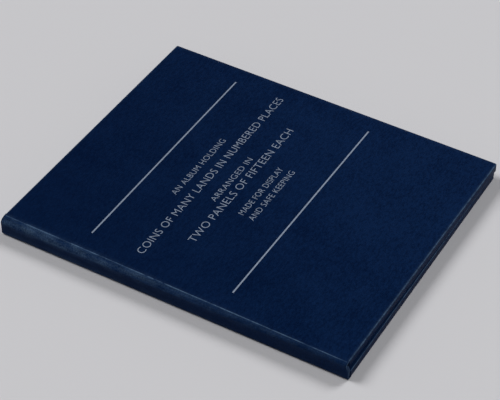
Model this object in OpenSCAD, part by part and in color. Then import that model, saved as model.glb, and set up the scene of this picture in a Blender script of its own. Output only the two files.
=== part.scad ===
// A coin album: two thick wrapped panels, each holding fifteen coins behind a clear sheet,
// joined by a stiffened spine with a soft hinge on either side.
// It lies closed on its back panel. +X runs from the spine to the fore-edge, +Y from tail
// to head, and +Z up through the front panel.

/* [Panels] */
// Width of one panel, from its spine side to its fore-edge
panel_w = 238.7; // [235:0.1:250]
// Height of one panel, from tail to head
panel_h = 292; // [288:1:305]
// Thickness of the closed album
album_t = 15; // [14.9:0.1:18]
// Radius of the wrapped edges on the outer face
edge_round = 1.2; // [0.6:0.1:2]
// Radius of a panel's corners seen from above
corner_round = 1.5; // [0.8:0.1:3]

/* [Covering] */
// Thickness of the leatherette
leather_t = 0.5; // [0.3:0.1:0.6]
// Width of the leatherette turned in round the inner face
turn_in = 12; // [8:1:14]
// Thickness of the hinge cloth on a panel's spine side
cloth_t = 0.4; // [0.2:0.1:0.5]

/* [Boards] */
// Thickness of a cover board
board_t = 2.2; // [1.8:0.1:2.4]
// Height of the rails that stand on a cover board
rail_t = 3.9; // [3.6:0.1:4]
// Width of a rail
rail_w = 16; // [12:1:20]
// Thickness of the velvet under the coins
lining_t = 0.3; // [0.2:0.1:0.4]
// Thickness of the clear sheet over the coins
window_t = 0.4; // [0.2:0.1:0.4]

/* [Coins] */
// Coin diameter
coin_d = 28; // [24:0.5:32]
// Coin thickness
coin_t = 2.6; // [1.8:0.1:2.8]
// Distance between columns of coins
column_pitch = 64; // [50:1:70]
// Distance between rows of coins
row_pitch = 50; // [40:1:52]

/* [Spine] */
// Thickness of the spine's stiffener
spine_board_t = 2; // [1:0.1:2.2]
// Radius of the spine's shoulders
shoulder_r = 3.2; // [2:0.1:3.2]
// Distance from the spine's outer face to the back panel
joint_w = 3.5; // [3.5:0.1:4.5]

/* [Lie of the front panel] */
// Angle by which the soft hinges let the front panel close out of square
skew = 0.6; // [0:0.1:1]
// How far the front panel's tail corner lies towards the fore-edge of the back panel's
slip_x = 1.3; // [0.5:0.1:2]
// How far the front panel's tail corner lies towards the head of the back panel's
slip_y = 1.8; // [0:0.1:2.5]

/* [Foil] */
// Width of the two foil rules
rule_w = 1.2; // [0.6:0.1:2]
// Length of the two foil rules
rule_l = 206.4; // [150:0.2:210]
// Depth to which the foil is stamped
foil_t = 0.1; // [0.06:0.01:0.15]

/* [Hidden] */
$fn = 64;
eps = 0.01;
over = 1;              // a cutting shape reaches this far past what it cuts
columns = 3;
rows = 5;
coins_per_panel = columns * rows;
coin_play = 0.6;       // a coin's hole in the tray is this much wider than the coin
coin_lip = 2;          // a card aperture is this much narrower than the coin
coin_rim = 1.2;
coin_field_depth = 0.25;
fit = 0.2;             // clearance round pieces that lie in a frame
inner_round = 0.6;     // radius of the wrapped edges on the inner face
lining_inset = 1;      // the spine lining stops this far from the outer faces
spine_lining_t = 0.3;
lip_gap = 0.3;         // between the spine's covering and a panel's
flap_overlap = 0.5;    // the front covering's joint flap starts this far inside the panel
card_corner = 1;
rule_shift = 1;         // the foil's middle line lies this far from the panel's towards the spine

core_t = board_t + rail_t;
wrap_t = core_t + 2 * leather_t;
cell_x0 = cloth_t + rail_w;
cell_x1 = panel_w - leather_t - rail_w;
cell_y0 = leather_t + rail_w;
cell_y1 = panel_h - leather_t - rail_w;
tray_t = rail_t - lining_t - window_t;
lining_z = leather_t + board_t;
tray_z = lining_z + lining_t;
window_z = tray_z + tray_t;
inlay_z = leather_t + core_t;
spine_skin_w = joint_w - lip_gap;

// The title's lines on the front cover: [middle of the line from the tail, its length, its height]
foil_middle = panel_w / 2 - rule_shift;
upper_rule_y = 224.6;
lower_rule_y = 103.1;
title_lines = [
    [196, 73, 5], [183, 206, 6.4], [166.5, 56, 5],
    [157, 147, 6.4], [140.5, 60, 5], [131, 63, 5]
];

// The front panel turns about its tail corner, so its far corners set the album's box.
front_x = joint_w + slip_x;
front_y = slip_y;
function turned(p) = [
    front_x + p.x * cos(skew) + p.y * sin(skew),
    front_y - p.x * sin(skew) + p.y * cos(skew)
];
box_x1 = turned([panel_w - corner_round, panel_h - corner_round]).x + corner_round;
box_y0 = min(0, turned([panel_w - corner_round, corner_round]).y - corner_round);
box_y1 = turned([0, panel_h]).y;
middle = [box_x1 / 2, (box_y0 + box_y1) / 2];

function coin_name(i) = str("coin_", i < 10 ? "0" : "", i);
half_nodes = [
    "leatherette", "cover_board", "head_rail", "tail_rail", "fore_edge_rail", "spine_rail",
    "velvet", "coin_tray", "window", "caption_card", "hinge_cloth"
];

// ---- Colours ----
navy = "#0a1a38";
deep_blue = "#101c3c";
greyboard = "#8d8579";
ivory = "#e8e4d8";
silver = "#c9ccd0";
clear = [0.8, 0.88, 0.95, 0.35];

// ---- Placing ----
// A panel is drawn outer face down, spine side at x = 0 and tail at y = 0.
module centred() translate([-middle.x, -middle.y, 0]) children();
module on_back() centred() translate([joint_w, 0, 0]) children();
module on_front()
    centred() translate([front_x, front_y, album_t]) rotate([0, 0, -skew]) mirror([0, 0, 1]) children();

// ---- Outlines ----
// What a rounded corner leaves out of a square one; inward points from the corner to the arc's centre.
module corner_cut(at, r, inward)
    translate(at) difference() {
        translate([inward.x > 0 ? -eps : -r, inward.y > 0 ? -eps : -r]) square(r + eps);
        translate(inward * r) circle(r);
    }

module rounded_plate(size, r)
    linear_extrude(size.z) difference() {
        square([size.x, size.y]);
        corner_cut([0, 0], r, [1, 1]);
        corner_cut([size.x, 0], r, [-1, 1]);
        corner_cut([0, size.y], r, [1, -1]);
        corner_cut([size.x, size.y], r, [-1, -1]);
    }

// A wrapped panel's cross-section, rounded where the leatherette turns over the edge at far.
module wrapped_edge(far, side) {
    corner_cut([far, 0], edge_round, [side, 1]);
    corner_cut([far, wrap_t], inner_round, [side, -1]);
}

// The outside of a wrapped panel: its plan and its two cross-sections, each with its own rounding.
module panel_envelope()
    intersection() {
        linear_extrude(wrap_t) difference() {
            square([panel_w, panel_h]);
            corner_cut([panel_w, 0], corner_round, [-1, 1]);
            corner_cut([panel_w, panel_h], corner_round, [-1, -1]);
        }
        translate([0, panel_h, 0]) rotate([90, 0, 0]) linear_extrude(panel_h) difference() {
            square([panel_w, wrap_t]);
            wrapped_edge(panel_w, -1);
        }
        rotate([90, 0, 90]) linear_extrude(panel_w) difference() {
            square([panel_h, wrap_t]);
            wrapped_edge(0, 1);
            wrapped_edge(panel_h, -1);
        }
    }

// ---- One panel's pieces ----
module wrap()
    difference() {
        panel_envelope();
        translate([-over, leather_t, leather_t])
            cube([panel_w - leather_t + over, panel_h - 2 * leather_t, core_t]);
        translate([-over, turn_in, inlay_z - over])
            cube([panel_w - turn_in + over, panel_h - 2 * turn_in, leather_t + 2 * over]);
    }

module cover_board()
    color(greyboard) translate([cloth_t, leather_t, leather_t])
        cube([panel_w - cloth_t - leather_t, panel_h - 2 * leather_t, board_t]);

module rail(at, size) color(greyboard) translate([at.x, at.y, lining_z]) cube([size.x, size.y, rail_t]);
module head_rail() rail([cloth_t, cell_y1], [panel_w - cloth_t - leather_t, rail_w]);
module tail_rail() rail([cloth_t, leather_t], [panel_w - cloth_t - leather_t, rail_w]);
module fore_edge_rail() rail([cell_x1, cell_y0], [rail_w, cell_y1 - cell_y0]);
module spine_rail() rail([cloth_t, cell_y0], [rail_w, cell_y1 - cell_y0]);

module in_cell(z, t)
    translate([cell_x0 + fit, cell_y0 + fit, z])
        cube([cell_x1 - cell_x0 - 2 * fit, cell_y1 - cell_y0 - 2 * fit, t]);

module velvet() color(deep_blue) in_cell(lining_z, lining_t);

// Places run from the head row down and from left to right as the open album is read, so the
// front panel's columns run the other way: side is 1 on the back panel and -1 on the front.
function place(i, side = 1) = [
    panel_w / 2 + side * (i % columns - (columns - 1) / 2) * column_pitch,
    panel_h / 2 - (floor(i / columns) - (rows - 1) / 2) * row_pitch
];
module at_places() for (i = [0 : coins_per_panel - 1]) translate(place(i)) children();

module coin_tray()
    color(deep_blue) difference() {
        in_cell(tray_z, tray_t);
        at_places() translate([0, 0, tray_z - over])
            cylinder(d = coin_d + coin_play, h = tray_t + 2 * over);
    }

module window() color(clear) in_cell(window_z, window_t);

// Inlaid between the turn-ins, flush with them.
module caption_card()
    color(ivory) difference() {
        translate([turn_in + fit, turn_in + fit, inlay_z])
            rounded_plate([panel_w - 2 * (turn_in + fit), panel_h - 2 * (turn_in + fit), leather_t], card_corner);
        at_places() translate([0, 0, inlay_z - over])
            cylinder(d = coin_d - coin_lip, h = leather_t + 2 * over);
    }

// Covers the panel's spine side and turns in beside the caption card.
module hinge_cloth()
    color(deep_blue) {
        translate([0, leather_t, leather_t]) cube([cloth_t, panel_h - 2 * leather_t, core_t]);
        translate([0, turn_in, inlay_z]) cube([turn_in, panel_h - 2 * turn_in, leather_t]);
    }

module coin(i, side)
    color(silver) translate(place(i, side)) translate([0, 0, tray_z]) difference() {
        cylinder(d = coin_d, h = coin_t);
        for (z = [-over, coin_t - coin_field_depth])
            translate([0, 0, z])
                cylinder(d = coin_d - 2 * coin_rim, h = over + coin_field_depth);
    }

// ---- Coverings that differ ----
module back_leatherette() color(navy) on_back() wrap();

// The front covering reaches over the joint to the spine's, and is stamped for the foil.
module front_leatherette()
    color(navy) on_front() difference() {
        union() {
            wrap();
            joint_flap();
        }
        for (y = [upper_rule_y, lower_rule_y]) rule(y);
        title_bars();
    }

// Its outer edge stays beside the spine's covering, however far the panel is out of square.
function beside_spine(y) = [(joint_w - front_x - y * sin(skew)) / cos(skew), y];
module joint_flap()
    linear_extrude(leather_t) polygon([
        beside_spine(edge_round), [flap_overlap, edge_round],
        [flap_overlap, panel_h - edge_round], beside_spine(panel_h - edge_round)
    ]);

// ---- Foil, stamped flush into the front covering ----
module foil_bar(y, length, height)
    translate([foil_middle - length / 2, y - height / 2, 0]) cube([length, height, foil_t]);
module rule(y) foil_bar(y, rule_l, rule_w);
module title_bars() for (line = title_lines) foil_bar(line[0], line[1], line[2]);

// ---- Spine ----
module spine_profile(r, x0, x1, z0)
    difference() {
        translate([x0, z0]) square([x1 - x0, album_t - 2 * z0]);
        corner_cut([x0, z0], r, [1, 1]);
        corner_cut([x0, album_t - z0], r, [1, -1]);
    }

module along_spine(y0, y1)
    centred() translate([0, y1, 0]) rotate([90, 0, 0]) linear_extrude(y1 - y0) children();

module spine_leatherette()
    color(navy) difference() {
        along_spine(0, panel_h) spine_profile(shoulder_r, 0, spine_skin_w, 0);
        along_spine(leather_t, panel_h - leather_t)
            spine_profile(shoulder_r - leather_t, leather_t, joint_w + over, leather_t);
    }

module spine_board()
    color(greyboard) along_spine(leather_t + fit, panel_h - leather_t - fit)
        translate([leather_t, shoulder_r]) square([spine_board_t, album_t - 2 * shoulder_r]);

module spine_lining()
    color(deep_blue) along_spine(leather_t + fit, panel_h - leather_t - fit)
        translate([leather_t + spine_board_t, lining_inset])
            square([spine_lining_t, album_t - 2 * lining_inset]);

// ---- The album ----
module half_part(part) {
    if (part == "cover_board") cover_board();
    if (part == "head_rail") head_rail();
    if (part == "tail_rail") tail_rail();
    if (part == "fore_edge_rail") fore_edge_rail();
    if (part == "spine_rail") spine_rail();
    if (part == "velvet") velvet();
    if (part == "coin_tray") coin_tray();
    if (part == "window") window();
    if (part == "caption_card") caption_card();
    if (part == "hinge_cloth") hinge_cloth();
}

back_leatherette();
front_leatherette();
for (part = half_nodes) {
    on_back() half_part(part);
    on_front() half_part(part);
}
for (i = [0 : coins_per_panel - 1]) {
    on_front() coin(i, -1);
    on_back() coin(i, 1);
}
spine_board();
spine_leatherette();
spine_lining();
color(silver) on_front() rule(upper_rule_y);  // upper_rule
color(silver) on_front() rule(lower_rule_y);  // lower_rule
color(silver) on_front() title_bars();  // title_foil
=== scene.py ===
"""Looks of the coin album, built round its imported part.

Shapes are worked out in millimetres in the part's own frame, and become metres when a mesh is made:
+X runs from the spine to the fore-edge, +Y from tail to head, +Z up through the front panel.
"""

import math
import random
from collections import namedtuple
from functools import partial

import bpy
import numpy as np
from mathutils import Matrix, Vector


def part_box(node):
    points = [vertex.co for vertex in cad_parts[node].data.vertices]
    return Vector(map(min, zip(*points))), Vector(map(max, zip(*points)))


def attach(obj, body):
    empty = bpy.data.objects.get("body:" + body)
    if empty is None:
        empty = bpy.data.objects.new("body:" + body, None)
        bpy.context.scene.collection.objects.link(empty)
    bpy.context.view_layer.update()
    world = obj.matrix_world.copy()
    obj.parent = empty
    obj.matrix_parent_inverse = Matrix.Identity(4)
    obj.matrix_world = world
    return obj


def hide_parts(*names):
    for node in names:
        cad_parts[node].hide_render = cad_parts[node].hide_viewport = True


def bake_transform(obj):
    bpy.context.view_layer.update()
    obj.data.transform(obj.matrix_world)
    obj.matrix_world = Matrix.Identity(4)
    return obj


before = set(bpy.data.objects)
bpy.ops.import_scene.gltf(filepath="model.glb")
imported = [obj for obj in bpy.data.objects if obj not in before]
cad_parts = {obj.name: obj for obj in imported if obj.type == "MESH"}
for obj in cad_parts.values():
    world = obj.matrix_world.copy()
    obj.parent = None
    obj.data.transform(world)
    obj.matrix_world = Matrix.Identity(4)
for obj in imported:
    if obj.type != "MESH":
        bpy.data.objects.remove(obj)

MM = 0.001
QUARTER = math.pi / 2
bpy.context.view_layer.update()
DICE = random.Random(7)


def box_mm(node):
    low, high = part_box(node)
    return np.array(low) / MM, np.array(high) / MM


# ---- Sizes read from the part ----
BACK_LOW, BACK_HIGH = box_mm("back_leatherette")
PANEL_W, PANEL_H, PANEL_T = BACK_HIGH - BACK_LOW
ALBUM_T = box_mm("front_leatherette")[1][2]
MIDDLE_Z = ALBUM_T / 2
SPINE_X = box_mm("spine_leatherette")[0][0]
COIN_LOW, COIN_HIGH = box_mm("coin_16")
COIN_D, COIN_T = (COIN_HIGH - COIN_LOW)[0], (COIN_HIGH - COIN_LOW)[2]
COIN_TOP = COIN_HIGH[2]
CARD_TOP = box_mm("back_caption_card")[1][2]
COINS_PER_PANEL = 15

# ---- Sizes of the coverings ----
TURN_IN = 12.0
SKIN_T = 0.45
OUTER_ROUND = 1.2
INNER_ROUND = 0.6
CORNER_ROUND = 1.5
CORNER_STEPS = 7
HEM_ROUND = 0.6
HEM_T = 1.3
HEM_DEPTH = 9.0
LINING_T = 0.25

# The strip that bends at a joint, as distances in from the spine's outer face.
BEND_NEAR, BEND_FAR = 1.5, 4.8

# A cover sinks below its flat by this much at most, and is flat again this near its edges.
SINK_DEPTH = 0.2
SINK_EDGE, SINK_SPINE = 14.0, 12.0

# The back covering is drawn past its panel at the spine's head, and comes back over this width.
HEAD_PULL = 1.6
HEAD_PULL_W = 9.0

# The spine's section: where its round starts below the crease, and how full it is.
SHOULDER_START = math.radians(16)
SHOULDER_FULLNESS = 0.85
SHOULDER_STEPS = 14
FACE_STEPS = (1, 0.75, 0.5, 0.25)
FRONT_JOINT_U = -2.0

# Rubbing and painted highlight that a plain edge has, and places from the tail, with half lengths, where the
# crease's shine breaks.
PLAIN_EDGE = 0.06
CREASE_BREAKS = ((166, 1.6), (158, 1.2), (151, 2.0))

# A line along a covering: its points at v, its rubbing and painted highlight (edge, crease, shoulder scuffs
# with painted sheen), and its rounding at each end.
Line = namedtuple("Line", "at wear rounding")
# A place on a wrapped edge: its base point, the ways out and in, its rounding, and its slack.
Station = namedtuple("Station", "base out inward rounding slack")


def panel_axes(turn):
    return np.array([math.cos(turn), -math.sin(turn), 0]), np.array([math.sin(turn), math.cos(turn), 0])


def lie_of_front():
    """How far the front panel is turned clockwise, and where its spine/tail corner lies."""
    back_low, back_high = box_mm("back_cover_board")
    front_low, front_high = box_mm("front_cover_board")
    width, height = (back_high - back_low)[:2]
    turn = math.atan2(height, width) - math.acos((front_high - front_low)[0] / math.hypot(width, height))
    board_corner = np.array([front_low[0], front_high[1] - height * math.cos(turn)])
    inset = (back_low - BACK_LOW)[:2]
    u_axis, v_axis = panel_axes(turn)
    return turn, board_corner - inset[0] * u_axis[:2] - inset[1] * v_axis[:2]


class Panel:
    """Where a panel lies. u runs from its spine side, v from its tail, and d in from its outer face."""

    def __init__(self, body, corner, turn, outer_z, inward):
        self.body = body
        self.origin = np.array([corner[0], corner[1], outer_z])
        self.u_axis, self.v_axis = panel_axes(turn)
        self.d_axis = np.array([0.0, 0.0, inward])

    def at(self, u, v, d):
        u, v, d = np.broadcast_arrays(u, v, d)
        offset = u[..., None] * self.u_axis + v[..., None] * self.v_axis + d[..., None] * self.d_axis
        return self.origin + offset

    def reading_matrix(self):
        """From the open page, x right, y up and z off the page from its outer face, to the part's frame."""
        centre = self.at(PANEL_W / 2, PANEL_H / 2, 0)
        right = np.cross(self.v_axis, self.d_axis)
        axes = np.stack([right, self.v_axis, self.d_axis, centre * MM], 1)
        return Matrix([*axes.tolist(), [0, 0, 0, 1]])


BACK = Panel("back_panel", BACK_LOW[:2], 0.0, 0.0, 1.0)
FRONT_TURN, FRONT_CORNER = lie_of_front()
FRONT = Panel("front_panel", FRONT_CORNER, FRONT_TURN, ALBUM_T, -1.0)


# ---- Meshes ----
def smoothstep(t):
    t = np.clip(t, 0, 1)
    return t * t * (3 - 2 * t)


class Patchwork:
    """Grids of points joined into one mesh where their edges meet, with a mask at each point of rubbing and
    painted highlight.
    """

    def __init__(self):
        self.points, self.masks, self.quads = [], [], []
        self.count = 0

    def add(self, points, masks, flip=False):
        rows, columns = points.shape[:2]
        index = self.count + np.arange(rows * columns).reshape(rows, columns)
        quads = np.stack([index[:-1, :-1], index[1:, :-1], index[1:, 1:], index[:-1, 1:]], -1).reshape(-1, 4)
        self.quads.append(quads[:, ::-1] if flip else quads)
        self.points.append(points.reshape(-1, 3))
        self.masks.append(masks.reshape(-1, 3))
        self.count += rows * columns

    def build(self, name):
        points = np.concatenate(self.points)
        masks = np.concatenate(self.masks)
        _, first, merged = np.unique(np.round(points, 3), axis=0, return_index=True, return_inverse=True)
        quads = merged.reshape(-1)[np.concatenate(self.quads)]
        faces = [list(dict.fromkeys(q)) for q in quads.tolist()]
        faces = [f for f in faces if len(f) > 2]
        return mesh_object(name, points[first], faces, masks[first])


def mesh_object(name, points_mm, faces, masks=None):
    """A smooth mesh that carries its points at rest, and its mask where it has one (rubbing and painted
    highlight on the leather, patina on the coins), for its material.
    """
    mesh = bpy.data.meshes.new(name)
    mesh.from_pydata((np.asarray(points_mm) * MM).tolist(), [], faces)
    rest = mesh.attributes.new("rest", "FLOAT_VECTOR", "POINT")
    rest.data.foreach_set("vector", np.asarray(points_mm, np.float32).ravel())
    if masks is not None:
        wear = mesh.attributes.new("wear", "FLOAT_VECTOR", "POINT")
        wear.data.foreach_set("vector", np.asarray(masks, np.float32).ravel())
    mesh.validate()
    mesh.polygons.foreach_set("use_smooth", [True] * len(mesh.polygons))
    obj = bpy.data.objects.new(name, mesh)
    bpy.context.scene.collection.objects.link(obj)
    return obj


def sharpen(obj, degrees=35):
    obj.data.set_sharp_from_angle(angle=math.radians(degrees))


def thicken(obj, thickness_mm):
    """Gives a surface its thickness behind the side that shows, as real geometry."""
    solid = obj.modifiers.new("thickness", "SOLIDIFY")
    solid.thickness = thickness_mm * MM
    solid.offset = -1
    graph = bpy.context.evaluated_depsgraph_get()
    mesh = bpy.data.meshes.new_from_object(obj.evaluated_get(graph))
    obj.modifiers.clear()
    obj.data = mesh
    sharpen(obj, 50)


def soften(obj, width_mm):
    """A fine rounding on a piece's cut edges."""
    bevel = obj.modifiers.new("cut_edge", "BEVEL")
    bevel.width = width_mm * MM
    bevel.segments = 2
    bevel.limit_method = "ANGLE"
    bevel.angle_limit = math.radians(50)


def paint(obj, material):
    obj.data.materials.clear()
    obj.data.materials.append(material)


def dress(obj, material, body=None):
    """Material, and the body that the piece rides on unless it bends over a joint."""
    paint(obj, material)
    if body:
        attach(obj, body)


# ---- The leatherette's shape ----
def waves(u, v):
    """A slow, even warp between 0 and 1."""
    slow = np.sin(u / 39 + 0.7) * np.cos(v / 51 + 1.9)
    cross = np.sin((u + v) / 63 + 0.4)
    quick = np.sin(u / 13 + v / 31) * np.cos(v / 17 - u / 29 + 1.1)
    return 0.5 + 0.25 * slow + 0.17 * cross + 0.08 * quick


def sink(u, v):
    """How far a cover has sunk below its flat, in mm. It comes back to the flat at the edges."""
    from_edge = np.minimum(np.minimum(PANEL_W - u, v), PANEL_H - v)
    inside = smoothstep((from_edge - CORNER_ROUND) / SINK_EDGE) * smoothstep((u - 1) / SINK_SPINE)
    return SINK_DEPTH * waves(u, v) * inside


def ripple(v, seed):
    """An edge's small unevenness along its length, in mm."""
    short = 0.015 * np.sin(v / 7.3 + seed) + 0.012 * np.sin(v / 3.1 + 2 * seed)
    return short + 0.03 * np.sin(v / 19 + 3 * seed)


def head_pull(u, v):
    """How far the back covering is drawn past its panel at the head of the spine, in mm."""
    return HEAD_PULL * smoothstep(v / PANEL_H) * (1 - smoothstep(u / HEAD_PULL_W))


def on_face(panel, u, v):
    """A point of a panel's covered outer face, with its warp and the pull at the spine's head."""
    point = panel.at(u, v, sink(u, v))
    if panel is BACK:
        point[..., 1] += head_pull(u, v)
    return point


def sheared(x, v, z):
    """A point of the spine. It lies over the two panels' ends, which aren't quite in line."""
    share = smoothstep((z - MIDDLE_Z) / (MIDDLE_Z - 2))
    back = BACK.at(0, v, 0)[..., 1] + head_pull(0, v)
    front = FRONT.at(FRONT_JOINT_U, v, 0)[..., 1]
    y = back + (front - back) * share
    return np.stack(np.broadcast_arrays(x, y, z), -1)


class Spine:
    """The run of a covering from a panel's crease, round the shoulder, to the spine's middle.

    falls is how far the shoulder drops, at the tail and at the head. Each of dents is a knock in the
    shoulder: its middle and half length along the spine, and its depth.
    """

    def __init__(self, panel, crease_u, falls, dents):
        self.panel = panel
        self.crease_u = crease_u
        self.falls = falls
        self.dents = dents

    def crease(self, v):
        return on_face(self.panel, self.crease_u, v)

    def shoulder(self, along, v):
        """Points from the crease at along 0 to the foot of the shoulder at 1."""
        crease = self.crease(v)
        wide = crease[..., 0] - SPINE_X
        tall = self.falls[0] + (self.falls[1] - self.falls[0]) * v / PANEL_H
        first, power = SHOULDER_START, SHOULDER_FULLNESS
        angle = first + (QUARTER - first) * along
        across = (1 - np.sin(angle) ** power) / (1 - math.sin(first) ** power)
        down = (math.cos(first) ** power - np.cos(angle) ** power) / math.cos(first) ** power
        x = SPINE_X + wide * across + self.dent(along, v)
        z = crease[..., 2] + self.panel.d_axis[2] * tall * down
        return sheared(x, v, z)

    def dent(self, along, v):
        knocks = sum(depth * np.exp(-(((v - at) / half) ** 2)) for at, half, depth in self.dents)
        wander = 0.12 * (1 + np.sin(v / 9.0))
        return (knocks + wander) * np.sin(math.pi * along) ** 2

    def face(self, along, v):
        """Points from the foot of the shoulder at along 0 to the spine's middle at 1."""
        foot = self.shoulder(1.0, v)
        z = foot[..., 2] + (MIDDLE_Z - foot[..., 2]) * along
        return sheared(np.full_like(z, SPINE_X), v, z)


def spine_lines(spine):
    """A covering's lines from the spine's middle to its crease."""
    lines = []
    # Shoulder mask: mostly a painted lit strip, faint on the spine's face and growing up it, with scuffs in
    # it.
    for along in FACE_STEPS:
        lines.append(Line(partial(spine.face, along), (0, 0, 0.12 + 0.25 * (1 - along)), HEM_ROUND))
    for step in range(SHOULDER_STEPS, 0, -1):
        along = step / SHOULDER_STEPS
        # Painted highlight, strongest mid-way round the shoulder.
        scuff_and_sheen = 0.45 + 0.55 * math.sin(math.pi * along) ** 0.5
        lines.append(Line(partial(spine.shoulder, along), (0, max(0.0, 1 - along * 10), scuff_and_sheen), HEM_ROUND))
    # Painted highlight and rubbing along the crease.
    lines.append(Line(spine.crease, (0, 1, 0.4), HEM_ROUND))
    return lines


def panel_lines(spine):
    """A covering's lines from beside the crease to the fore-edge, and the first of them on the panel."""
    beside = [spine.crease_u + step for step in (0.25, 0.5, 1.0)]
    near = [u for u in (0.0, 1.2, 2.4, 4.0, 6.0, 8.0) if u > beside[-1]]
    across = [*beside, *near, *np.linspace(10, PANEL_W - CORNER_ROUND, 92)]
    lines = []
    for u in across:
        away = u - spine.crease_u
        # Painted highlight and rubbing: a thin line at the crease, and the shoulder's painted sheen fading
        # onto the cover.
        wear = (0, max(0.0, 1 - away / 0.6), max(0.0, 0.3 - away / 12))
        lines.append(Line(partial(on_face, spine.panel, u), wear, HEM_ROUND if u < 0 else OUTER_ROUND))
    first_on_panel = next(i for i, u in enumerate(across) if u >= 0)
    return lines, first_on_panel


def top_patch(lines, v):
    """The covering's outer face, and the wear on it."""
    points = np.stack([line.at(v) for line in lines])
    masks = np.stack([np.tile(line.wear, (len(v), 1)) for line in lines]).astype(float)
    for middle, half in CREASE_BREAKS:
        masks[:, :, 1] *= 1 - 0.9 * np.exp(-(((v - middle) / half) ** 2))
    # Painted highlight: the shoulder's lit strip is stronger towards the head.
    masks[:, :, 2] *= 0.35 + 0.65 * smoothstep((v / PANEL_H - 0.25) / 0.6)
    masks[:, [0, -1], 0] = PLAIN_EDGE
    masks[-1, :, 0] = PLAIN_EDGE
    return points, masks


def profile(rounding, depth):
    """(offset out from the edge, depth, rubbing and painted highlight, most at each rounding's middle) round
    a wrapped edge, from the outer face to the inner one.
    """
    steps = [(-CORNER_ROUND, 0.0, PLAIN_EDGE)]
    inner = min(INNER_ROUND, rounding)
    # Each rounding's mask peaks mid-way: rubbing and painted highlight.
    for a in np.linspace(0, QUARTER, 6):
        steps.append((rounding * (math.sin(a) - 1), rounding * (1 - math.cos(a)), math.sin(2 * a) ** 2))
    for share in (0.25, 0.5, 0.75):
        steps.append((0.0, rounding + (depth - inner - rounding) * share, 0.0))
    for a in np.linspace(0, QUARTER, 5):
        steps.append((inner * (math.cos(a) - 1), depth + inner * (math.sin(a) - 1), math.sin(2 * a) ** 2))
    return np.array(steps)


def ring(stations, depth, flaps):
    """A wrapped edge along its stations. Each flap is the point where the turned-in covering stops."""
    rows, masks = [], []
    for station, flap in zip(stations, flaps):
        offset, deep, wear = profile(station.rounding, depth).T
        slack = station.slack * np.sin(math.pi * np.clip(deep / depth, 0, 1))
        out = (CORNER_ROUND + offset - slack)[:, None]
        points = station.base + station.out * out + station.inward * deep[:, None]
        rows.append(np.vstack([points, flap]))
        masks.append(np.column_stack([np.append(wear, 0), np.zeros((len(wear) + 1, 2))]))
    return np.stack(rows), np.stack(masks)


def end_stations(lines, v_end, out, panel):
    """Stations along a covering's head or tail, line by line."""
    v = np.array([v_end])
    bases = np.array([line.at(v)[0] for line in lines])
    along = np.gradient(bases[:, [0, 2]], axis=0)
    along /= np.linalg.norm(along, axis=1)[:, None]
    flat = np.zeros(len(lines))
    inward = np.stack([along[:, 1], flat, -along[:, 0]], 1)
    if panel is BACK:
        inward = np.stack([np.abs(along[:, 1]), flat, along[:, 0]], 1)
    stations = []
    for i, line in enumerate(lines):
        slack = 0.05 + 0.5 * float(ripple(i * 2.3, v_end))
        stations.append(Station(bases[i], out, inward[i], line.rounding, slack))
    return stations


def flap_end(panel, u, v):
    """Where the turned-in covering stops on a panel's inner face, mitred at its corners."""
    inside_u = min(u, PANEL_W - TURN_IN)
    inside_v = min(max(v, TURN_IN), PANEL_H - TURN_IN)
    return panel.at(inside_u, inside_v, PANEL_T)


def corner_stations(panel, v, first, last):
    base = panel.at(PANEL_W - CORNER_ROUND, v, 0)
    for a in np.linspace(first, last, CORNER_STEPS):
        out = math.cos(a) * panel.u_axis + math.sin(a) * panel.v_axis
        yield Station(base, out, panel.d_axis, OUTER_ROUND, 0.0)


def fore_edge_ring(panel, v_lines):
    """The far side of a panel, with both its corners."""
    u = PANEL_W - CORNER_ROUND
    stations = list(corner_stations(panel, v_lines[0], -QUARTER, 0))
    for v in v_lines:
        slack = 0.05 + float(ripple(v, 1.0))
        stations.append(Station(panel.at(u, v, 0), panel.u_axis, panel.d_axis, OUTER_ROUND, slack))
    stations += corner_stations(panel, v_lines[-1], 0, QUARTER)
    vs = [v_lines[0]] * CORNER_STEPS + list(v_lines) + [v_lines[-1]] * CORNER_STEPS
    return ring(stations, PANEL_T, [flap_end(panel, u, v) for v in vs])


def end_rings(panel, lines, first_on_panel, v_end, way):
    """A covering's edge at its head or tail: the spine's hem, then the panel's wrapped edge."""
    stations = end_stations(lines, v_end, way * panel.v_axis, panel)
    over_spine = stations[: first_on_panel + 1]
    over_panel = stations[first_on_panel:]
    hems = [s.base + s.out * (CORNER_ROUND - HEM_DEPTH) + s.inward * HEM_T for s in over_spine]
    flaps = [flap_end(panel, np.dot(s.base - panel.origin, panel.u_axis), v_end) for s in over_panel]
    return ring(over_spine, HEM_T, hems), ring(over_panel, PANEL_T, flaps)


def skin(name, spine, v_lines):
    """One covering: outer face, shoulder, half the spine, and every edge turned in."""
    panel = spine.panel
    over_spine = spine_lines(spine)
    over_panel, first = panel_lines(spine)
    lines = over_spine + over_panel
    flip = panel is BACK
    work = Patchwork()
    work.add(*top_patch(lines, v_lines), flip=flip)
    for v_end, way in ((v_lines[0], -1), (v_lines[-1], 1)):
        for patch in end_rings(panel, lines, len(over_spine) + first, v_end, way):
            work.add(*patch, flip=(flip == (way > 0)))
    work.add(*fore_edge_ring(panel, v_lines), flip=not flip)
    obj = work.build(name)
    thicken(obj, SKIN_T)
    return obj


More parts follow.
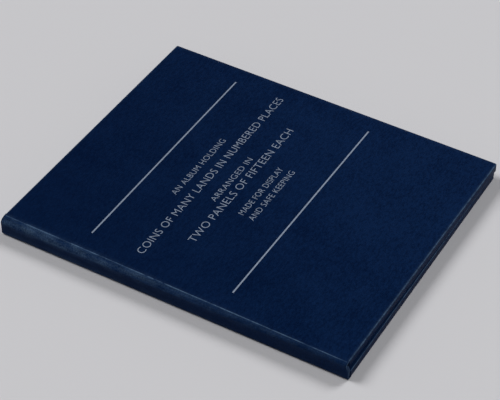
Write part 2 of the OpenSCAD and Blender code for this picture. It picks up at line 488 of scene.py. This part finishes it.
# ---- Materials ----
class Shader:
    """A material's nodes, with short ways to add and join them."""

    def __init__(self, name):
        self.material = bpy.data.materials.new(name)
        self.material.use_nodes = True
        self.tree = self.material.node_tree
        self.surface = self.tree.nodes["Principled BSDF"]

    def add(self, kind, inputs=None, **settings):
        node = self.tree.nodes.new("ShaderNode" + kind)
        for key, value in settings.items():
            setattr(node, key, value)
        for key, value in (inputs or {}).items():
            self.put(node.inputs[key], value)
        return node

    def put(self, socket, value):
        if isinstance(value, bpy.types.NodeSocket):
            self.tree.links.new(value, socket)
        else:
            socket.default_value = value

    def set(self, **values):
        for key, value in values.items():
            self.put(self.surface.inputs[key.replace("_", " ")], value)

    def attribute(self, name):
        return self.add("Attribute", attribute_name=name).outputs["Vector"]

    def own_place(self):
        """A rigid piece's own coordinates, in millimetres."""
        return self.stretched(self.add("TexCoord").outputs["Object"], (1000, 1000, 1000))

    def parts(self, vector):
        return self.add("SeparateXYZ", {0: vector}).outputs

    def stretched(self, place, scale):
        return self.add("VectorMath", {0: place, 1: scale}, operation="MULTIPLY").outputs[0]

    def noise(self, place, per_mm, detail=2.0, rough=0.5):
        inputs = {"Vector": place, "Scale": per_mm, "Detail": detail, "Roughness": rough}
        return self.add("TexNoise", inputs).outputs["Fac"]

    def cells(self, place, per_mm):
        inputs = {"Vector": place, "Scale": per_mm}
        return self.add("TexVoronoi", inputs, feature="SMOOTH_F1").outputs["Distance"]

    def math(self, operation, a, b):
        return self.add("Math", {0: a, 1: b}, operation=operation).outputs[0]

    def times(self, a, b):
        return self.math("MULTIPLY", a, b)

    def plus(self, a, b):
        return self.math("ADD", a, b)

    def most(self, a, b):
        return self.math("MAXIMUM", a, b)

    def ramp(self, value, low, high, out_low=0.0, out_high=1.0):
        inputs = {"Value": value, "From Min": low, "From Max": high, "To Min": out_low, "To Max": out_high}
        return self.add("MapRange", inputs).outputs["Result"]

    def blend(self, share, a, b):
        node = self.add("Mix", data_type="RGBA")
        self.put(node.inputs["Factor"], share)
        self.put(node.inputs[6], a)
        self.put(node.inputs[7], b)
        return node.outputs[2]

    def bump(self, height, distance_mm, strength):
        inputs = {"Height": height, "Distance": distance_mm * MM, "Strength": strength}
        self.set(Normal=self.add("Bump", inputs).outputs["Normal"])


NAVY = (0.0003, 0.0050, 0.0270, 1)
NAVY_GREYED_AND_GLINT = (0.0030, 0.0160, 0.0640, 1)
NAVY_RUBBED_AND_LIT = (0.095, 0.165, 0.270, 1)
NAVY_SHINE = (0.35, 0.75, 1.0, 1)
FOIL, FOIL_BARE = (0.36, 0.44, 0.57, 1), (0.08, 0.10, 0.14, 1)
GREYBOARD, GREYBOARD_DARK = (0.34, 0.31, 0.27, 1), (0.22, 0.20, 0.17, 1)
IVORY, IVORY_DARK = (0.80, 0.77, 0.67, 1), (0.70, 0.66, 0.55, 1)
TRAY_BLUE, TRAY_DARK = (0.012, 0.022, 0.07, 1), (0.006, 0.014, 0.05, 1)
CLOTH_GROUND, CLOTH_THREAD = (0.003, 0.010, 0.04, 1), (0.014, 0.032, 0.09, 1)
VELVET_DARK, VELVET_LIGHT = (0.005, 0.012, 0.05, 1), (0.011, 0.024, 0.085, 1)
SILVER, SILVER_TARNISHED = (0.60, 0.60, 0.59, 1), (0.52, 0.49, 0.43, 1)
SILVER_RECESS = (0.16, 0.155, 0.145, 1)
INK, INK_THIN = (0.012, 0.03, 0.10, 1), (0.03, 0.055, 0.15, 1)
CLEAR = (0.80, 0.84, 0.88, 1)
FLOOR = (0.72, 0.715, 0.735, 1)
ROOM = (0.95, 0.96, 1.0, 1)


def leather_wear_and_sheen(s, rest, masks, fleck):
    """How far the colour is lightened by rubbing and by painted highlight: along edges, on the creases, and
    in scuffs and a painted lit strip on the spine's shoulder.
    """
    edge, crease, scuff_and_sheen = masks
    patch = s.noise(s.stretched(rest, (1, 0.35, 1)), per_mm=0.22, detail=4, rough=0.6)
    edge_wear_and_sheen = s.times(edge, s.ramp(patch, 0.36, 0.6, 0.4, 1.0))
    crease_wear_and_sheen = s.times(crease, s.ramp(patch, 0.37, 0.56, 0.28, 1.0))
    scuff_and_sheen_patch = s.plus(patch, s.times(fleck, 0.5))
    scuff_and_sheen_amount = s.times(scuff_and_sheen, s.ramp(scuff_and_sheen_patch, 0.58, 0.92, 0.03, 0.45))
    return s.most(edge_wear_and_sheen, s.most(crease_wear_and_sheen, scuff_and_sheen_amount))


def leather_age_and_glint(s, rest, broad, height):
    """How far the navy has greyed in slow clouds, with painted glints lightening the grain's pebble tops;
    both are painted stronger towards the fore-edge and tail, where the light catches.
    """
    x, y, _ = s.parts(rest)
    # Painted light: greying and glints grow towards the fore-edge and tail.
    toward_tail = s.ramp(s.math("SUBTRACT", x, y), -160, 190, 0.45, 1.0)
    mottle = s.noise(s.stretched(rest, (0.6, 1.3, 1.0)), per_mm=0.42, detail=4, rough=0.65)
    clouds = s.ramp(s.plus(s.times(broad, 0.4), mottle), 0.55, 0.85, 0.0, 0.75)
    # Painted glints: the pebbles' tops lighter than their pits.
    grain = s.plus(clouds, s.ramp(height, 0.45, 0.95, 0.0, 0.6))
    return s.times(grain, toward_tail)


def leatherette_material():
    """Fine pebbles crossed by a thread-like grain, streaked and scuffed where the spine flexes, with painted
    highlight on the edges, crease and shoulder, and painted glints on the grain.
    """
    s = Shader("leatherette_worn_and_sheened")
    rest = s.attribute("rest")
    masks = s.parts(s.attribute("wear"))
    scuff_and_sheen = masks[2]
    broad = s.noise(rest, per_mm=0.035, detail=3)
    fleck = s.noise(rest, per_mm=0.9, detail=3, rough=0.65)
    pebble = s.cells(s.stretched(rest, (0.9, 1.25, 1.0)), per_mm=0.95)
    thread = s.noise(s.stretched(rest, (0.45, 2.4, 1.2)), per_mm=0.9)
    streak = s.noise(s.stretched(rest, (1.0, 0.10, 1.0)), per_mm=0.75, detail=3, rough=0.6)
    height = s.plus(s.times(pebble, 0.8), s.times(thread, 0.8))

    worn_and_lit = leather_wear_and_sheen(s, rest, masks, fleck)
    # Greyed streaks over the shoulder's painted lit strip.
    flex_streaks_and_sheen = s.times(s.ramp(scuff_and_sheen, 0.1, 0.6, 0.0, 1.1), s.ramp(streak, 0.40, 0.66))
    aged_and_glinting = s.plus(leather_age_and_glint(s, rest, broad, height), flex_streaks_and_sheen)
    # Rubbing and painted highlight on edges, crease and shoulder, broken up by flecks, towards the lighter
    # navy.
    rubbed = s.times(worn_and_lit, s.ramp(fleck, 0.3, 0.6, 0.45, 1.0))
    s.set(Base_Color=s.blend(rubbed, s.blend(aged_and_glinting, NAVY, NAVY_GREYED_AND_GLINT), NAVY_RUBBED_AND_LIT))
    s.set(Roughness=s.ramp(s.plus(broad, worn_and_lit), 0.3, 1.2, 0.40, 0.60))
    s.set(Specular_IOR_Level=0.035, Specular_Tint=NAVY_SHINE)
    s.bump(s.plus(height, s.times(s.times(streak, scuff_and_sheen), 2.0)), distance_mm=0.11, strength=0.9)
    return s.material


def foil_material():
    """Stamped foil with small places where it has rubbed off."""
    s = Shader("rubbed_foil")
    rest = s.attribute("rest")
    rub = s.noise(rest, per_mm=0.55, detail=4, rough=0.7)
    s.set(Base_Color=s.blend(s.ramp(rub, 0.66, 0.78), FOIL, FOIL_BARE))
    s.set(Metallic=0.5, Roughness=s.ramp(rub, 0.3, 0.7, 0.32, 0.5))
    s.bump(s.cells(rest, per_mm=1.3), distance_mm=0.03, strength=0.5)
    return s.material


def card_material(name, colour, dark, tooth_mm):
    """Paper or board: flecked fibres and a slight tooth."""
    s = Shader(name)
    place = s.own_place()
    fibre = s.noise(s.stretched(place, (1, 0.3, 1)), per_mm=3.0, detail=3, rough=0.7)
    cloud = s.noise(place, per_mm=0.05, detail=3)
    tone = s.plus(s.times(fibre, 0.6), s.times(cloud, 0.5))
    s.set(Base_Color=s.blend(s.ramp(tone, 0.35, 0.75), dark, colour), Roughness=0.82, Specular_IOR_Level=0.25)
    s.bump(fibre, distance_mm=tooth_mm, strength=0.7)
    return s.material


def weave_height(s, place, pitch_mm):
    """Two sets of threads crossing, as a height."""
    wave = {"Vector": place, "Scale": 0.314 / pitch_mm, "Distortion": 0.6, "Detail": 1.0}
    across = s.add("TexWave", wave, bands_direction="X")
    down = s.add("TexWave", wave, bands_direction="Y")
    return s.most(across.outputs["Fac"], down.outputs["Fac"])


def cloth_material(name, bends):
    """Navy book cloth. One that bends takes its weave from its points at rest."""
    s = Shader(name)
    place = s.attribute("rest") if bends else s.own_place()
    weave = weave_height(s, place, pitch_mm=0.35)
    fuzz = s.noise(place, per_mm=2.0, detail=3, rough=0.7)
    shade = s.times(weave, s.ramp(fuzz, 0.3, 0.7, 0.6, 1.0))
    s.set(Base_Color=s.blend(shade, CLOTH_GROUND, CLOTH_THREAD), Roughness=0.9, Specular_IOR_Level=0.2)
    s.set(Sheen_Weight=0.15, Sheen_Roughness=0.5)
    s.bump(weave, distance_mm=0.06, strength=0.9)
    return s.material


def velvet_material():
    s = Shader("velvet_pile")
    place = s.own_place()
    pile = s.noise(place, per_mm=4.0, rough=0.8)
    brushed = s.noise(place, per_mm=0.08)
    s.set(Base_Color=s.blend(s.ramp(brushed, 0.35, 0.65), VELVET_DARK, VELVET_LIGHT))
    s.set(Roughness=0.95, Specular_IOR_Level=0.1, Sheen_Weight=0.7, Sheen_Roughness=0.35)
    s.bump(pile, distance_mm=0.12, strength=0.9)
    return s.material


def clear_material():
    """A clear sheet with fine scratches across it."""
    s = Shader("clear_sheet")
    scratch = s.noise(s.stretched(s.own_place(), (0.12, 3.0, 1)), per_mm=1.2, detail=3, rough=0.7)
    s.set(Base_Color=CLEAR, Alpha=0.07, Specular_IOR_Level=0.5)
    s.set(Roughness=s.ramp(scratch, 0.5, 0.8, 0.06, 0.2))
    return s.material


def silver_material():
    """Struck silver, hazed in clouds and dark in the recesses of its relief."""
    s = Shader("struck_silver")
    rest = s.attribute("rest")
    recess = s.parts(s.attribute("wear"))[0]
    haze = s.noise(rest, per_mm=0.12, detail=3)
    tone = s.blend(s.ramp(haze, 0.4, 0.7), SILVER, SILVER_TARNISHED)
    s.set(Base_Color=s.blend(s.times(recess, 0.5), tone, SILVER_RECESS), Metallic=1.0)
    s.set(Roughness=s.ramp(haze, 0.3, 0.8, 0.36, 0.5))
    s.bump(s.noise(rest, per_mm=6.0), distance_mm=0.012, strength=0.5)
    return s.material


def ink_material():
    s = Shader("navy_ink")
    speck = s.noise(s.own_place(), per_mm=3.5)
    s.set(Base_Color=s.blend(s.ramp(speck, 0.4, 0.7), INK, INK_THIN), Roughness=0.6)
    return s.material


# ---- Flat shapes, as points and faces ----
def join_shapes(shapes):
    """Several (points, faces) as one."""
    points, faces, count = [], [], 0
    for more, theirs in shapes:
        points.append(more)
        faces += [[i + count for i in f] for f in theirs]
        count += len(more)
    return np.concatenate(points), faces


def moved(shape, x, y):
    return shape[0] + (x, y, 0), shape[1]


def letters(text, height, length=None, deep=0.0, thinner=0.0):
    """Lettering, centred, with that height of capital, and squeezed or spread to a length if given one."""
    curve = bpy.data.curves.new("lettering", "FONT")
    curve.body = text
    curve.align_x = "CENTER"
    curve.space_character = 1.06
    curve.offset = -thinner
    curve.resolution_u = 4
    curve.extrude = deep
    holder = bpy.data.objects.new("lettering", curve)
    bpy.context.scene.collection.objects.link(holder)
    mesh = bpy.data.meshes.new_from_object(holder)
    bpy.data.objects.remove(holder)
    points = np.array([v.co for v in mesh.vertices])
    faces = [list(p.vertices) for p in mesh.polygons]
    bpy.data.meshes.remove(mesh)
    low, high = points.min(0), points.max(0)
    tall = height / (high - low)[1]
    wide = length / (high - low)[0] if length else tall
    return (points - (low + high) / 2) * (wide, tall, tall), faces


def bar(width, height, steps=1):
    x = np.linspace(-width / 2, width / 2, steps + 1)
    points = [(a, b, 0) for a in x for b in (-height / 2, height / 2)]
    faces = [[2 * i, 2 * i + 2, 2 * i + 3, 2 * i + 1] for i in range(steps)]
    return np.array(points), faces


def circle(radius, sides, z=0.0):
    a = np.linspace(0, 2 * math.pi, sides, endpoint=False)
    return np.stack([radius * np.cos(a), radius * np.sin(a), np.full(sides, z)], 1)


def band_faces(low, high, sides):
    """The faces between two rings of points that start at those indices."""
    return [[low + i, low + (i + 1) % sides, high + (i + 1) % sides, high + i] for i in range(sides)]


def annulus(inner, outer, sides=96):
    return np.concatenate([circle(outer, sides), circle(inner, sides)]), band_faces(0, sides, sides)


def frame_line(width, height, thick):
    """A plain printed border."""
    x, y = width / 2, height / 2
    corners = np.array([(-1, -1, 0), (1, -1, 0), (1, 1, 0), (-1, 1, 0)])
    outer = corners * (x, y, 0)
    inner = corners * (x - thick, y - thick, 0)
    return np.concatenate([outer, inner]), band_faces(0, 4, 4)


# ---- The foil title and rules ----
# Each line's words, the height of its middle from the tail, and its capitals' height and its length.
TITLE = [
    ("AN ALBUM HOLDING", 196.0, 5.0, 73.0),
    ("COINS OF MANY LANDS IN NUMBERED PLACES", 183.0, 6.4, 206.0),
    ("ARRANGED IN", 166.5, 5.0, 56.0),
    ("TWO PANELS OF FIFTEEN EACH", 157.0, 6.4, 147.0),
    ("MADE FOR DISPLAY", 140.5, 5.0, 60.0),
    ("AND SAFE KEEPING", 131.0, 5.0, 63.0),
]
FOIL_PROUD = 0.045
LETTERS_THINNER = 0.013
RULE_W = 1.2
RULE_STEPS = 120


def foil_place(node):
    """Where the middle of a foil node lies on the front cover."""
    low, high = box_mm(node)
    from_corner = (low + high)[:2] / 2 - FRONT.origin[:2]
    return float(from_corner @ FRONT.u_axis[:2]), float(from_corner @ FRONT.v_axis[:2])


def stamp(name, shape, u, v, node, material):
    """Lays a flat shape on the front cover, a hair proud of it, following its warp."""
    points, faces = shape
    u, v = u + points[:, 0], v + points[:, 1]
    obj = mesh_object(name, FRONT.at(u, v, sink(u, v) - FOIL_PROUD), faces)
    sharpen(obj)
    dress(obj, material, "front_panel")
    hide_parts(node)


def build_foil(material):
    lines = []
    for text, v, height, length in TITLE:
        lines.append(moved(letters(text, height, length, thinner=LETTERS_THINNER), 0, v))
    middle_u = foil_place("title_foil")[0]
    stamp("title_lettering", join_shapes(lines), middle_u, 0, "title_foil", material)
    for node in ("upper_rule", "lower_rule"):
        low, high = box_mm(node)
        rule = bar((high - low)[0], RULE_W, RULE_STEPS)
        stamp(node + "_line", rule, *foil_place(node), node, material)


# ---- Coins ----
# Radii, heights and depths are in millimetres, and the leaves' places on the wreath in degrees.
COIN_SIDES = 96
COIN_RIM = 1.2
COIN_FIELD = 0.25
COIN_SOFT = 0.2
RELIEF = 0.2
BEADS, BEAD_RING, BEAD_R = 60, 12.1, 0.36
LEAVES = 11
LEAF_FIRST, LEAF_STEP = -78, 13.2
LEAF_SIZE = 1.05, 0.38
LEAF_ROWS = ((0.5, 10.2), (-0.5, 8.5))
KNOT_R, KNOT_HIGH, KNOT_Y = 0.8, 0.24, -10.0
NUMERAL_H, NUMERAL_Y = 8.2, 0.3
NUMERAL_TOP, NUMERAL_FOOT = 0.19, -0.05
RECESS_R = 12.9


def lathe(outline):
    """A turned shape from (radius, height) points, closed at both ends."""
    points = np.concatenate([circle(r, COIN_SIDES, z) for r, z in outline])
    last = (len(outline) - 1) * COIN_SIDES
    faces = []
    for start in range(0, last, COIN_SIDES):
        faces += band_faces(start, start + COIN_SIDES, COIN_SIDES)
    faces.append(list(range(COIN_SIDES)))
    faces.append(list(range(last, last + COIN_SIDES))[::-1])
    return points, faces


def boss(x, y, long, wide, high, turn, sides=8):
    """A small raised dome, for a bead or a leaf."""
    flat = circle(1, sides)[:, :2] * (long, wide)
    c, s = math.cos(turn), math.sin(turn)
    spun = flat @ np.array([[c, s], [-s, c]])
    foot = np.column_stack([spun + (x, y), np.zeros(sides)])
    shoulder = np.column_stack([0.6 * spun + (x, y), np.full(sides, 0.8 * high)])
    faces = band_faces(0, sides, sides)
    faces += [[sides + i, sides + (i + 1) % sides, 2 * sides] for i in range(sides)]
    return np.vstack([foot, shoulder, [[x, y, high]]]), faces


def coin_blank():
    """The turned blank, its lowest face at 0: rim, sunk fields and softened edges."""
    radius, inside = COIN_D / 2, COIN_D / 2 - COIN_RIM
    field = COIN_T - COIN_FIELD
    return lathe([
        (5.0, field), (inside, field), (inside + 0.15, COIN_T), (radius - COIN_SOFT, COIN_T),
        (radius, COIN_T - COIN_SOFT), (radius, COIN_SOFT), (radius - COIN_SOFT, 0), (inside, 0),
        (inside, COIN_FIELD),
    ])


def coin_relief():
    """Beads inside the rim, a wreath of two branches, and a knot where they meet."""
    shapes = []
    for i in range(BEADS):
        a = 2 * math.pi * i / BEADS
        shapes.append(boss(BEAD_RING * math.cos(a), BEAD_RING * math.sin(a), BEAD_R, BEAD_R, RELIEF, 0, 6))
    for side in (-1, 1):
        for i in range(LEAVES):
            a = math.radians(LEAF_FIRST + LEAF_STEP * i)
            for lean, reach in LEAF_ROWS:
                turn = a + QUARTER - lean
                x, y = side * reach * math.cos(a), reach * math.sin(a)
                shapes.append(boss(x, y, *LEAF_SIZE, RELIEF, turn if side > 0 else math.pi - turn))
    shapes.append(boss(0, KNOT_Y, KNOT_R, KNOT_R, KNOT_HIGH, 0, 10))
    return join_shapes(shapes)


def coin_mesh(number, blank, relief):
    """A coin with its relief and number, and a mask of the recesses between them."""
    field = COIN_T - COIN_FIELD
    points, faces = letters(str(number), NUMERAL_H, deep=0.02)
    height = np.where(points[:, 2] > 0, NUMERAL_TOP, NUMERAL_FOOT)
    numeral = np.column_stack([points[:, :2], height]) + (0, NUMERAL_Y, field)
    points, faces = join_shapes([blank, (relief[0] + (0, 0, field), relief[1]), (numeral, faces)])
    low = np.clip((field + 0.08 - points[:, 2]) / 0.1, 0, 1)
    recess = low * (np.hypot(points[:, 0], points[:, 1]) < RECESS_R)
    return points, faces, np.column_stack([recess, recess, recess])


def panel_of(number):
    return FRONT if number <= COINS_PER_PANEL else BACK


def coin_middle(number):
    """The middle of a coin in the part's frame, in metres."""
    low, high = box_mm(f"coin_{number:02d}")
    return Vector(((low + high) / 2 * MM).tolist())


def build_coin(number, blank, relief, material):
    """A coin in its place, turned a little as a loose coin is."""
    obj = mesh_object(f"coin_{number:02d}_struck", *coin_mesh(number, blank, relief))
    sharpen(obj, 30)
    panel = panel_of(number)
    middle = coin_middle(number)
    matrix = panel.reading_matrix()
    matrix.translation = Vector((middle.x, middle.y, matrix.translation.z))
    drop = Matrix.Translation((0, 0, (COIN_TOP - COIN_T) * MM))
    spin = Matrix.Rotation(math.radians(DICE.uniform(-2.5, 2.5)), 4, "Z")
    obj.matrix_world = matrix @ drop @ spin
    dress(obj, material, panel.body)
    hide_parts(f"coin_{number:02d}")


def build_coins(material):
    blank, relief = coin_blank(), coin_relief()
    for number in range(1, 2 * COINS_PER_PANEL + 1):
        build_coin(number, blank, relief, material)


# ---- Printing on the caption cards ----
# How far each border stands in from a panel's sides, both together, and its line.
BORDERS = ((34, 30, 0.5), (37, 33, 0.2))
RINGS = ((13.7, 14.2), (14.7, 14.9))
CAPTION_H, CAPTION_DROP = 2.4, 18.2
WRITING_LINE, WRITING_DROP = (34, 0.15), 22.0
INK_PROUD = 0.02


def place_on_page(number):
    """The middle of a coin's place on its open page."""
    local = panel_of(number).reading_matrix().inverted() @ coin_middle(number)
    return local.x / MM, local.y / MM


def printing(numbers):
    """Everything printed on one caption card, in the open page's own millimetres."""
    shapes = [frame_line(PANEL_W - less_w, PANEL_H - less_h, thick) for less_w, less_h, thick in BORDERS]
    for number in numbers:
        x, y = place_on_page(number)
        shapes += [moved(annulus(inner, outer), x, y) for inner, outer in RINGS]
        shapes.append(moved(letters(f"No. {number}", CAPTION_H), x, y - CAPTION_DROP))
        shapes.append(moved(bar(*WRITING_LINE), x, y - WRITING_DROP))
    return join_shapes(shapes)


def build_printing(panel, first_number, name, material):
    points, faces = printing(range(first_number, first_number + COINS_PER_PANEL))
    obj = mesh_object(name, points + (0, 0, CARD_TOP + INK_PROUD), faces)
    obj.matrix_world = panel.reading_matrix()
    dress(obj, material, panel.body)


# ---- The coverings, the spine and the linings ----
# Each covering's crease, the fall of its shoulder at tail and head, and the knocks in it.
FRONT_CREASE_U = -2.1
FRONT_FALLS = (2.4, 4.5)
FRONT_DENTS = ((167, 2.2, 0.5), (160, 3.0, 0.35), (151, 2.0, 0.55), (64, 5, 0.25))
BACK_CREASE_IN = 3.2
BACK_FALLS = (1.7, 1.7)
BACK_DENTS = ((90, 5, 0.2), (214, 4, 0.25))

# The stiffener stops short of the spine's ends. A turned-in cap covers each end, and wraps its edges.
STIFFENER_INSET = 1.2
CAP_INSET, CAP_DEPTH = 0.15, 9.0
CAP_OVER_BACK, CAP_OVER_FRONT = 0.3, 0.2
# The caps' rubbing and painted highlight, as edge and shoulder masks.
CAP_WEAR_AND_SHEEN = (0.3, 0, 0.2)
SLAB_LEVELS = 9
SLAB_ROUND = 0.35
CUT_EDGE_ROUND = 0.12

# A lining leaves the spine this far from an outer face, and meets its panel's side this deep.
LINING_INSET = 2
LINING_LINES = 74
LINING_LEAVES = 3.2
LINING_MEETS = 0.9


def height_lines():
    """Where the coverings' cross lines lie from the tail, closer together near the two ends."""
    near_end = np.array([CORNER_ROUND, 2.2, 3.2, 4.5])
    return np.concatenate([near_end, np.linspace(6, PANEL_H - 6, 150), PANEL_H - near_end[::-1]])


def bend(obj, start_x):
    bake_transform(obj)


def build_skins(material):
    v_lines = height_lines()
    front_spine = Spine(FRONT, FRONT_CREASE_U, FRONT_FALLS, FRONT_DENTS)
    back_spine = Spine(BACK, SPINE_X + BACK_CREASE_IN - BACK.origin[0], BACK_FALLS, BACK_DENTS)
    front = skin("front_covering", front_spine, v_lines)
    back = skin("back_covering", back_spine, v_lines)
    for obj in (front, back):
        dress(obj, material)
    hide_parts("front_leatherette", "spine_leatherette")
    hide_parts("back_leatherette")
    bend(front, SPINE_X + BEND_NEAR)
    bend(back, BACK.origin[0])


def spine_slab(name, x_range, z_range, v_range):
    """A flat piece inside the spine, whose ends follow the covering's."""
    levels = np.linspace(*z_range, SLAB_LEVELS)
    points, faces = [], []
    for v in v_range:
        for level in levels:
            points += sheared(np.array(x_range), np.array([v, v]), np.array([level, level])).tolist()
    far = 2 * SLAB_LEVELS
    for a in range(0, far - 2, 2):
        b = a + 2
        faces += [[a, a + 1, b + 1, b], [far + a, far + b, far + b + 1, far + a + 1]]
        faces += [[a, b, far + b, far + a], [a + 1, far + a + 1, far + b + 1, b + 1]]
    last = far - 2
    faces += [[0, far, far + 1, 1], [last, last + 1, far + last + 1, far + last]]
    obj = mesh_object(name, points, faces, np.full((len(points), 3), CAP_WEAR_AND_SHEEN))
    soften(obj, SLAB_ROUND)
    sharpen(obj, 50)
    return obj


def build_spine_inside(board, leather):
    """The stiffener, and the covering turned in over both its ends."""
    low, high = box_mm("spine_board")
    inside = (STIFFENER_INSET, PANEL_H - STIFFENER_INSET)
    stiffener = spine_slab("spine_stiffener", (low[0], high[0]), (low[2], high[2]), inside)
    dress(stiffener, board, "spine")
    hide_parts("spine_board")
    x_range = (low[0], high[0] + SKIN_T)
    z_range = (low[2] - CAP_OVER_BACK, high[2] + CAP_OVER_FRONT)
    ends = {"tail": (CAP_INSET, CAP_DEPTH), "head": (PANEL_H - CAP_DEPTH, PANEL_H - CAP_INSET)}
    for end, v_range in ends.items():
        cap = spine_slab(f"spine_{end}_turn_in", x_range, z_range, v_range)
        dress(cap, leather, "spine")


def lining_line(x, end_z, panel, wall_u, v):
    """Points from the middle of the spine's inner face, then over to a panel's side in an easy bow."""
    straight = sheared(np.full(4, x), np.full(4, v), np.linspace(MIDDLE_Z, end_z, 4))
    foot = straight[-1]
    wall = panel.at(wall_u, v, LINING_MEETS)
    share = np.linspace(0, 1, 9)[1:, None]
    bow = foot + (wall - foot) * share
    bow[:, 2] += (wall[2] - foot[2]) * 0.25 * np.sin(math.pi * share[:, 0])
    return np.vstack([straight, bow])


def hinge_lining(name, x, end_z, panel, wall_u, material):
    """Cloth that runs inside the hollow of a joint."""
    v_lines = np.linspace(LINING_INSET, PANEL_H - LINING_INSET, LINING_LINES)
    rows = np.stack([lining_line(x, end_z, panel, wall_u, v) for v in v_lines], 1)
    work = Patchwork()
    work.add(rows, np.zeros_like(rows))
    obj = work.build(name)
    thicken(obj, LINING_T)
    dress(obj, material)
    return obj


def build_linings(material):
    inner_x = box_mm("spine_lining")[1][0]
    front = hinge_lining("front_hinge_lining", inner_x, ALBUM_T - LINING_LEAVES, FRONT, -0.1, material)
    back = hinge_lining("back_hinge_lining", inner_x, LINING_LEAVES, BACK, -0.05, material)
    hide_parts("spine_lining")
    bend(front, inner_x + 0.1)
    bend(back, BACK.origin[0] - 0.1)


# ---- The pieces whose CAD shape stays ----
def look_of(kind, looks, board):
    if kind.endswith(("board", "rail")):
        return board
    return looks.get(kind)


def build_inside(board):
    looks = {
        "caption_card": card_material("ivory_card", IVORY, IVORY_DARK, tooth_mm=0.02),
        "coin_tray": card_material("tray_board", TRAY_BLUE, TRAY_DARK, tooth_mm=0.03),
        "hinge_cloth": cloth_material("hinge_book_cloth", bends=False),
        "window": clear_material(),
        "velvet": velvet_material(),
    }
    for name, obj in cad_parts.items():
        kind = name.split("_", 1)[1]
        material = look_of(kind, looks, board)
        if material:
            paint(obj, material)
            if kind in ("caption_card", "hinge_cloth"):
                soften(obj, CUT_EDGE_ROUND)


# ---- Stage ----
AIM = np.array([-11.45, -3.36, 15.0])
AZIMUTH, ELEVATION, DISTANCE = -59.889, 42.493, 1363.4
LENS, SENSOR = 130.3, 36
FLOOR_REACH = 8.0

# Where each light stands, its strength, and how wide it looks.
SUNS = {
    "key_head": ((-0.25, 1.55, 1.75), 1.58, 26),
    "key_fore_edge": ((1.7, -0.55, 1.75), 1.36, 24),
}
# The room is pale low down and dim above: these are heights up the sky, then strengths.
ROOM_FALL = {"From Min": 0.12, "From Max": 0.42, "To Min": 0.5, "To Max": 0.08}


def point_along(obj, direction):
    obj.rotation_euler = direction.to_track_quat("-Z", "Y").to_euler()


def build_camera():
    az, el = math.radians(AZIMUTH), math.radians(ELEVATION)
    forward = Vector((-math.sin(az) * math.cos(el), math.cos(az) * math.cos(el), -math.sin(el)))
    data = bpy.data.cameras.new("camera")
    data.lens = LENS
    data.sensor_width = SENSOR
    camera = bpy.data.objects.new("camera", data)
    camera.location = Vector((AIM * MM).tolist()) - forward * DISTANCE * MM
    point_along(camera, forward)
    bpy.context.scene.collection.objects.link(camera)
    bpy.context.scene.camera = camera


def build_floor():
    mesh = bpy.data.meshes.new("floor")
    corners = [(x * FLOOR_REACH, y * FLOOR_REACH, 0) for x, y in ((-1, -1), (1, -1), (1, 1), (-1, 1))]
    mesh.from_pydata(corners, [], [(0, 1, 2, 3)])
    floor = bpy.data.objects.new("floor", mesh)
    bpy.context.scene.collection.objects.link(floor)
    s = Shader("paper_floor")
    s.set(Base_Color=FLOOR, Roughness=0.9, Specular_IOR_Level=0.1)
    mesh.materials.append(s.material)


def build_room():
    """A dim room with pale walls low down, seen only as a backdrop and in the edges."""
    world = bpy.data.worlds.new("studio")
    bpy.context.scene.world = world
    world.use_nodes = True
    tree = world.node_tree
    background = tree.nodes["Background"]
    background.inputs["Color"].default_value = ROOM
    place = tree.nodes.new("ShaderNodeTexCoord")
    split = tree.nodes.new("ShaderNodeSeparateXYZ")
    fall = tree.nodes.new("ShaderNodeMapRange")
    for key, value in ROOM_FALL.items():
        fall.inputs[key].default_value = value
    tree.links.new(place.outputs["Generated"], split.inputs[0])
    tree.links.new(split.outputs["Z"], fall.inputs["Value"])
    tree.links.new(fall.outputs["Result"], background.inputs["Strength"])


def build_suns():
    """Broad, distant lights, so that the floor is lit as evenly far off as near by."""
    for name, (place, strength, width_degrees) in SUNS.items():
        data = bpy.data.lights.new(name, "SUN")
        data.energy = strength
        data.angle = math.radians(width_degrees)
        light = bpy.data.objects.new(name, data)
        light.location = place
        point_along(light, -Vector(place))
        bpy.context.scene.collection.objects.link(light)


leather = leatherette_material()
board = card_material("greyboard_fibre", GREYBOARD, GREYBOARD_DARK, tooth_mm=0.06)
build_skins(leather)
build_spine_inside(board, leather)
build_linings(cloth_material("hinge_lining_cloth", bends=True))
build_foil(foil_material())
build_inside(board)
build_coins(silver_material())
ink = ink_material()
build_printing(FRONT, 1, "front_printing", ink)
build_printing(BACK, COINS_PER_PANEL + 1, "back_printing", ink)
build_floor()
build_room()
build_suns()
build_camera()
bpy.context.scene.view_settings.view_transform = "Standard"
